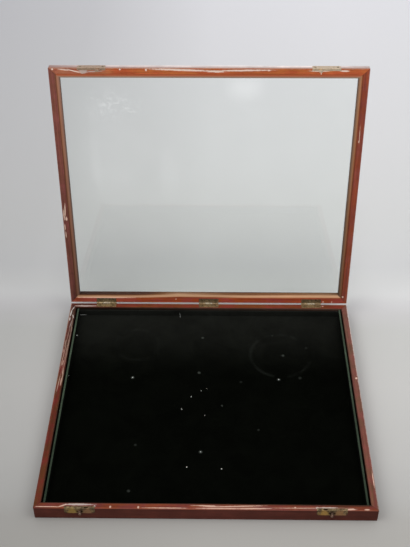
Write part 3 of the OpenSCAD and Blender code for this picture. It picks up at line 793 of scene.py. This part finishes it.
# The rails' joint tones are brighter than the walls', partly as painted light for the open lid's
# faces, which catch more light
RAILS = {
    "lid_front_rail": dict(
        tones=("#7a4838", "#c86139", "#c06a38"), seed=5, rub=((0, 0.9),), strength=(0.7, 1.0),
        cream="#f6dccb",
        # Where the front rail's outer face, on top of the open lid, whitens: blooming and painted
        # sheen
        bloom_and_sheen_along=(
            (-225, 0.25), (-190, 0.45), (-125, 0.72), (-25, 0.9), (75, 1.0), (150, 0.98),
            (205, 0.7),
        ),
        ashy=((-190, 0.35), (-145, 0.2), (-130, 0.0)), ash="#a07a70",
        pale=[
            (-219, 1.8, 1.3, 1.2), (-203, 2.4, 7, 0.7, 6), (-189, 4.2, 8, 0.8, 14),
            (-124.3, 1.9, 1.1, 1.2), (-87.7, 2.4, 1.2, 1.6), (-38, 2.4, 40, 1.3, 1.8),
            (8, 4.3, 14, 1.4, 2), (50, 2.8, 34, 1.1, -1), (68, 2.6, 2, 1.1), (84, 2.6, 1.9, 1.1),
            (156, 3.4, 13, 0.9), (190, 3.2, 6, 1.1), (157, 8, 0.5, 3),
        ],
        white=[(-176, 4.6, 5.6, 3.2), (-160, 4.8, 11, 0.8, -3)],
        dark=[
            (-219, 5.5, 4, 2.4, 40, 0.45), (-196, 1.6, 13, 0.8, 0, 0.6),
            (-176, 2.2, 18, 0.7, 0, 0.5),
        ],
    ),
    "lid_back_rail": dict(
        tones=("#5a2c22", "#a84d26", "#9c463a"), seed=6, rub=((0, 0.5),), strength=(0.8, 0.7),
        pale=[
            (-53.4, 6.8, 0.9, 1.5), (186.3, 2.5, 1.1, 1.6), (200.5, 2.4, 1.0, 1.6),
            (217, 12.5, 1.0, 2), (-170, 8.6, 45, 0.7),
        ],
        dark=[(-214, 4.5, 9, 2.4, 0, 0.3)],
    ),
    "lid_left_stile": dict(
        tones=("#5a2c22", "#855041", "#854c45"), seed=7, rub=((-200, 0.1), (0, 0.3), (200, 0.5)),
        fade=((-200, 1.15), (200, 0.6)),
        pale=[
            (28, 4.2, 11, 0.9, -3), (36, 1.8, 9, 0.8), (43, 5.0, 3, 1.5), (58, 1.6, 5, 0.7),
            (72, 2.0, 5, 0.6),
        ],
        dark=[(188, 5, 9, 2.6, 0, 0.3)],
    ),
    "lid_right_stile": dict(
        tones=("#5a2c22", "#96492f", "#8a4538"), seed=8, inner_dirt_and_shade=((0, 0.12),),
        fade=((-200, 1.1), (200, 0.9)),
        rub=((-200, 0.35), (-40, 0.15), (60, 0.35), (150, 0.6), (200, 0.9)), worn="#c8a89c",
        pale=[(-99, 5.6, 12, 0.4, -2), (-89, 5.8, 1.8, 0.9), (187, 7.0, 1.5, 1.5)],
    ),
}
# Bands across the beads: depth from the case's outer face in millimetres, and colour
# The colours hold painted light and shade: lightest on the back bead, which faces up on the open
# lid
BEADS = {
    "front": dict(
        bands=[
            (9, "#cd6a3e"), (11.4, "#c06a4a"), (12.4, "#ac826a"), (13.6, "#a4846e"),
            (15.4, "#785a4c"),
        ],
    ),
    "back": dict(
        bands=[
            (8.2, "#8e3d24"), (9.4, "#c08058"), (10.6, "#e2b48c"), (13.2, "#dcac84"),
            (14.4, "#98663f"), (15.2, "#6e442e"), (16.5, "#523424"),
        ],
        wander=(
            (-205, 1.9), (-150, 1.7), (-110, 1.2), (-50, -1.2), (0, -0.6), (60, 0.0), (120, -0.3),
            (200, -0.7),
        ),
        fade=((-215, 0.72), (-180, 1.0), (30, 1.0), (60, 1.15), (130, 1.3), (200, 1.1)),
    ),
    "left": dict(
        bands=[
            (9, "#8a5a3e"), (9.8, "#9c664a"), (11.2, "#b88064"), (12.8, "#a87c66"),
            (15.2, "#8c6a5a"), (15.6, "#6a5244"),
        ],
        fade=((-200, 1.0), (200, 0.42)),
    ),
    "right": dict(
        bands=[
            (9, "#a25a38"), (9.8, "#b06c48"), (11.2, "#ba8660"), (12.8, "#9c765a"),
            (15.2, "#806252"), (15.6, "#6a5244"),
        ],
        fade=((-200, 1.0), (200, 0.42)),
    ),
}
# Finger smears on the glass, the first of them a painted glare: middle and reach in millimetres,
# amount, and whether it is wispy
SMEARS_AND_GLARE = [
    ((52, -172), (34, 30), 0.07, False), ((-168, -50), (9, 80), 0.015, False),
    ((-60, -30), (22, 60), 0.02, False), ((-150, -60), (60, 130), 0.025, False),
    ((-140, -138), (62, 34), 0.08, True), ((30, -60), (150, 90), 0.02, True),
]
# Dust that the velvet holds: x, y, reach in millimetres, and amount
DUST = [
    (-113.8, 46.5, 3.4, 0.16), (-8.9, 134.0, 3.2, 0.10), (-13.1, 57.5, 3.4, 0.10),
    (116.5, 95.5, 3.2, 0.10), (107.5, 44.3, 3.6, 0.12), (21.5, -8.6, 2.2, 0.08),
    (-8.4, -94.9, 3.4, 0.14), (-104.0, -162.0, 3.2, 0.06), (-100.3, -83.4, 3.0, 0.04),
    (101.7, 139.9, 2.4, 0.05), (73.7, -54.4, 2.6, 0.04), (153.5, 112.6, 3, 0.03),
    (139.7, 47.9, 4, 0.03), (50.3, 38.8, 3, 0.03),
]
# Faint rings in it: x, y, radius in millimetres, and amount
RINGS = [(112, 96, 46, 0.012), (-112, 118, 34, 0.008)]
# How velvet turns to its second colour (dust with painted sheen; on the side strips' tops, painted
# green sheen): along which axis, and from where to where in millimetres
FLOOR_DUST_AND_SHEEN, TOP_SHEEN, BACK_DUST_AND_SHEEN = (1, 40, 215), (2, 16.6, 17.3), (1, -60, 170)
HINGES = ("left", "middle", "right")
# Brass: finish, how clean, tones of metal and skin, how strong the painted glint on its knuckles,
# and its pieces
BRASSES = (
    ("aged rolled brass", 0, ("#c8b08a", "#5e4c36"), 0, "_base_leaf", HINGES[1:]),
    ("olive rolled brass", 0, ("#c8b48c", "#66553c"), 0, "_base_leaf", HINGES[:1]),
    ("rolled brass of the lid with painted glints", 0, ("#bcac8c", "#544734"), 1, "_lid_leaf", HINGES),
    ("dull pinkish brass", 0.12, ("#c8ab90", "#806a5a"), 0, "_hook_plate", ("left",)),
    ("pale polished brass", 0.12, ("#e8d2b4", "#a68e74"), 0, "_hook_plate", ("right",)),
    ("thumb-worn brass", 0.1, ("#94796a", "#4e3c34"), 0, "_catch_slide", FLANKS),
    ("brass hinge wire", 0.05, ("#b09a72", "#4f4031"), 0, "_hinge_pin", HINGES),
)
# What shows where the catch plates are worn, left and right
CATCH_WEAR = {"left": ("#bc9c58", "#a8805e"), "right": ("#c8a058", "#b48a60")}
WORN_STEP, WORN_DEPTH, WORN_REACH = 10.5, 6, (7, 3, 6)
# The floor's tone from front to back in millimetres, and its share of that from left to right
# Painted light and shade: darker near the front and to the left, with a painted highlight band
# around 250 mm where a paper sweep would bend
FLOOR = [
    (-450, "#b6b5b3"), (-245, "#a5a39d"), (-200, "#a8a6a1"), (-165, "#b0afab"), (-100, "#b8b7b3"),
    (40, "#c1c0bc"), (165, "#c1c1bd"), (200, "#c5c4c2"), (225, "#cecdcc"), (250, "#d6d6d4"),
    (285, "#d1d1cf"), (325, "#cccccb"), (450, "#cfcfcd"), (1550, "#e9e9eb"),
]
FLOOR_SIDE = [(-800, 0.62), (-320, 0.76), (0, 0.99), (320, 1.05), (800, 1.05)]
SIDE_NAMES = ("front", "back", "left", "right")


def lay_floor(stage):
    """The pale paper that the case lies on, painted with the light and shade of a paper sweep. It
    is in the open lid's shade just behind it.
    """
    clear_selection()
    bpy.ops.mesh.primitive_plane_add(size=FLOOR_WIDTH, location=(0, 0, -GROUND_GAP))
    floor = bpy.context.object
    floor.name = "paper_floor"
    material, add = new_finish("pale paper")
    at = place_in_mm(add, False)
    x, y = (add("SeparateXYZ", [at], out=i) for i in range(2))
    tone = ramp(add, y, FLOOR[0][0], FLOOR[-1][0], FLOOR)
    side = ramp(add, x, FLOOR_SIDE[0][0], FLOOR_SIDE[-1][0], FLOOR_SIDE)
    shade = product(
        add,
        eased(add, maths(add, "ABSOLUTE", x), *SHADE_HALF, 1, 0, **SOFT),
        eased(add, y, *SHADE_NEAR, 0, stage.lid_shade, **SOFT),
        eased(add, y, *SHADE_FAR, 1, 0, **SOFT),
    )
    lit = product(add, side, maths(add, "SUBTRACT", 1.0, shade))
    surface(add, shaded(add, tone, lit), 0.8, {"Specular IOR Level": 0.2})
    give(material, floor)


def hang_lamps(stage):
    """Two soft boxes over the front, left and right."""
    for name, spot, power in (
        ("left soft box", (-1.5, -0.5, 2.0), stage.left_lamp),
        ("right soft box", (1.5, -0.3, 2.1), stage.right_lamp),
    ):
        bpy.ops.object.light_add(type="AREA", location=spot)
        lamp = bpy.context.object
        lamp.name = name
        lamp.data.shape = "SQUARE"
        lamp.data.size = LAMP_WIDTH
        lamp.data.energy = power
        lamp.rotation_euler = (LAMP_AIM - Vector(spot)).to_track_quat("-Z", "Y").to_euler()


def light_room(stage):
    """Light from all round, and the even grey that the camera sees beyond the floor."""
    world = bpy.data.worlds.new("room")
    bpy.context.scene.world = world
    world.use_nodes = True
    world.node_tree.nodes.clear()
    add = partial(put, world.node_tree)
    light = add("Background", {"Color": "#fbfbff", "Strength": stage.sky})
    backdrop = add("Background", {"Color": "#dfdfe2", "Strength": 1.0})
    seen = add("LightPath", out="Is Camera Ray")
    add("OutputWorld", {"Surface": add("MixShader", [seen, light, backdrop])})


def place_camera(stage):
    """The photograph's camera, turned by yaw, tipped by pitch and leant by roll."""
    ahead, aside = math.cos(stage.yaw), math.sin(stage.yaw)
    flat, drop = math.cos(stage.pitch), math.sin(stage.pitch)
    forward = Vector((aside * flat, ahead * flat, -drop))
    level = Vector((ahead, -aside, 0))
    sunk = forward.cross(level)
    right = level * math.cos(stage.roll) + sunk * math.sin(stage.roll)
    down = sunk * math.cos(stage.roll) - level * math.sin(stage.roll)
    bpy.ops.object.camera_add()
    camera = bpy.context.object
    turn = Matrix((right, -down, -forward)).transposed()
    camera.matrix_world = Matrix.Translation(stage.eye) @ turn.to_4x4()
    camera.data.lens = stage.lens
    camera.data.sensor_width = FILM_WIDTH
    camera.data.clip_start = 0.01
    bpy.context.scene.camera = camera


def polish(pieces, lid):
    """Gives each wall or rail its own mahogany. Its name says which side it is on."""
    for node, words in pieces.items():
        side = next(side for side in SIDE_NAMES if side in node)
        give(old_mahogany("french-polished mahogany, " + node, side, lid, **words), node)


class DISPLAY_CASE_OT_stage(bpy.types.Operator):
    """Adds the pale floor, the soft lights and the camera"""

    bl_idname = "display_case.stage"
    bl_label = "Stage"

    def execute(self, context):
        for prepare in (lay_floor, hang_lamps, light_room, place_camera):
            prepare(context.scene.case_stage)
        context.scene.view_settings.view_transform = "Standard"
        return {"FINISHED"}


class DISPLAY_CASE_OT_tray_wood(bpy.types.Operator):
    """Finishes the tray's walls, its panel and the board under the velvet"""

    bl_idname = "display_case.tray_wood"
    bl_label = "Tray wood"

    def execute(self, context):
        polish(WALLS, lid=False)
        give(bare_pine(), "bottom_panel")
        give(pressed_board(), "floor_board")
        return {"FINISHED"}


class DISPLAY_CASE_OT_lid_wood(bpy.types.Operator):
    """Finishes the lid's frame and its glazing beads"""

    bl_idname = "display_case.lid_wood"
    bl_label = "Lid wood"

    def execute(self, context):
        polish(RAILS, lid=True)
        for seed, side in enumerate(SIDE_NAMES, 11):
            bead = rubbed_bead("rubbed stained bead, " + side, side, seed, **BEADS[side])
            give(bead, side + "_bead")
        return {"FINISHED"}


class DISPLAY_CASE_OT_glass(bpy.types.Operator):
    """Finishes the lid's glass"""

    bl_idname = "display_case.glass"
    bl_label = "Glass"

    def execute(self, context):
        give(picture_glass(), "glass_pane")
        return {"FINISHED"}


class DISPLAY_CASE_OT_brasswork(bpy.types.Operator):
    """Finishes the hinges, catches, hook plates, screws and pins"""

    bl_idname = "display_case.brasswork"
    bl_label = "Brasswork"

    def execute(self, context):
        for finish, clean, tones, knuckle_glint, part, sides in BRASSES:
            brass = aged_brass(finish, clean, tones=tones, knuckle_glint=knuckle_glint)
            give(brass, *(side + part for side in sides))
        for side, tones in CATCH_WEAR.items():
            middle = sum(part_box(side + "_catch_plate"), Vector()).x * MM / 2
            worn = [
                ((middle + off, -HALF_D, RIM - WORN_DEPTH), WORN_REACH, tone)
                for off, tone in zip((-WORN_STEP, WORN_STEP), tones)
            ]
            finish = aged_brass("aged catch brass, " + side, -0.08, worn=worn)
            give(finish, side + "_catch_plate")
        give(aged_brass("brown brass screws", 0, "tray"), "catch_screws", "base_leaf_screws")
        screws = aged_brass("brown brass screws of the lid", 0, "lid")
        give(screws, "lid_leaf_screws", "hook_plate_screws")
        give(rusty_pin_steel(), "bead_pins")
        return {"FINISHED"}


class DISPLAY_CASE_OT_floor_velvet(bpy.types.Operator):
    """Stretches the black velvet over the board in the tray"""

    bl_idname = "display_case.floor_velvet"
    bl_label = "Floor velvet"

    def execute(self, context):
        piece = stretch_floor_velvet(context.scene.case_sizes)
        colours = context.scene.case_colours
        black, grey = colours.black_velvet, colours.dust_and_sheen_velvet
        name = "black cotton velvet"
        give(velvet(name, black, grey, FLOOR_DUST_AND_SHEEN, 0.004, DUST, RINGS), piece)
        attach(piece, "base")
        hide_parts("floor_velvet")
        return {"FINISHED"}


class DISPLAY_CASE_OT_lining_strips(bpy.types.Operator):
    """Wraps the four lining strips in velvet"""

    bl_idname = "display_case.lining_strips"
    bl_label = "Lining strips"

    def execute(self, context):
        colours = context.scene.case_colours
        black, grey, green = colours.black_velvet, colours.dust_and_sheen_velvet, colours.green_velvet
        # The side strips' tops get a painted green sheen; the front and back strips stay dark
        name = "dark cotton velvet with a painted green sheen on top"
        green_velvet = velvet(name, black, green, TOP_SHEEN, 0.015, worn=(0.5, 0.95))
        name = "dark cotton velvet, front and back"
        black_velvet = velvet(name, black, grey, BACK_DUST_AND_SHEEN, 0.01)
        board = pressed_board()
        for side in SIDE_NAMES:
            cloth, card, flat = wrap_strip(side, context.scene.case_sizes)
            give(green_velvet if side in FLANKS else black_velvet, cloth)
            give(board, card)
            for piece in (cloth, card):
                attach(piece, "base")
            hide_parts(side + "_liner")
        return {"FINISHED"}


class DISPLAY_CASE_OT_lint(bpy.types.Operator):
    """Scatters the lint and the stray threads on the velvet"""

    bl_idname = "display_case.lint"
    bl_label = "Lint"

    def execute(self, context):
        piece = scatter_lint(context.scene.case_sizes)
        give(lint_fluff(), piece)
        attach(piece, "base")
        return {"FINISHED"}


OPERATORS = (
    DISPLAY_CASE_OT_stage, DISPLAY_CASE_OT_tray_wood, DISPLAY_CASE_OT_lid_wood,
    DISPLAY_CASE_OT_glass, DISPLAY_CASE_OT_brasswork, DISPLAY_CASE_OT_floor_velvet,
    DISPLAY_CASE_OT_lining_strips, DISPLAY_CASE_OT_lint,
)


class DISPLAY_CASE_PT_panel(bpy.types.Panel):
    """Lists what dresses the display case"""

    bl_idname = "DISPLAY_CASE_PT_panel"
    bl_label = "Display case"
    bl_space_type = "VIEW_3D"
    bl_region_type = "UI"
    bl_category = "Display case"

    def draw(self, context):
        for operator in OPERATORS:
            self.layout.operator(operator.bl_idname)
        for setting in GROUPS:
            group = getattr(context.scene, setting)
            column = self.layout.column()
            for name in group.__annotations__:
                column.prop(group, name)


GROUPS = {"case_sizes": CaseSizes, "case_colours": CaseColours, "case_stage": CaseStage}


def register():
    for name, group in GROUPS.items():
        bpy.utils.register_class(group)
        setattr(bpy.types.Scene, name, PointerProperty(type=group))
    for thing in (*OPERATORS, DISPLAY_CASE_PT_panel):
        bpy.utils.register_class(thing)


def unregister():
    for thing in (DISPLAY_CASE_PT_panel, *reversed(OPERATORS)):
        bpy.utils.unregister_class(thing)
    for name, group in GROUPS.items():
        delattr(bpy.types.Scene, name)
        bpy.utils.unregister_class(group)


def main():
    register()
    for operator in OPERATORS:
        family, name = operator.bl_idname.split(".")
        getattr(getattr(bpy.ops, family), name)()


if __name__ == "__main__":
    main()
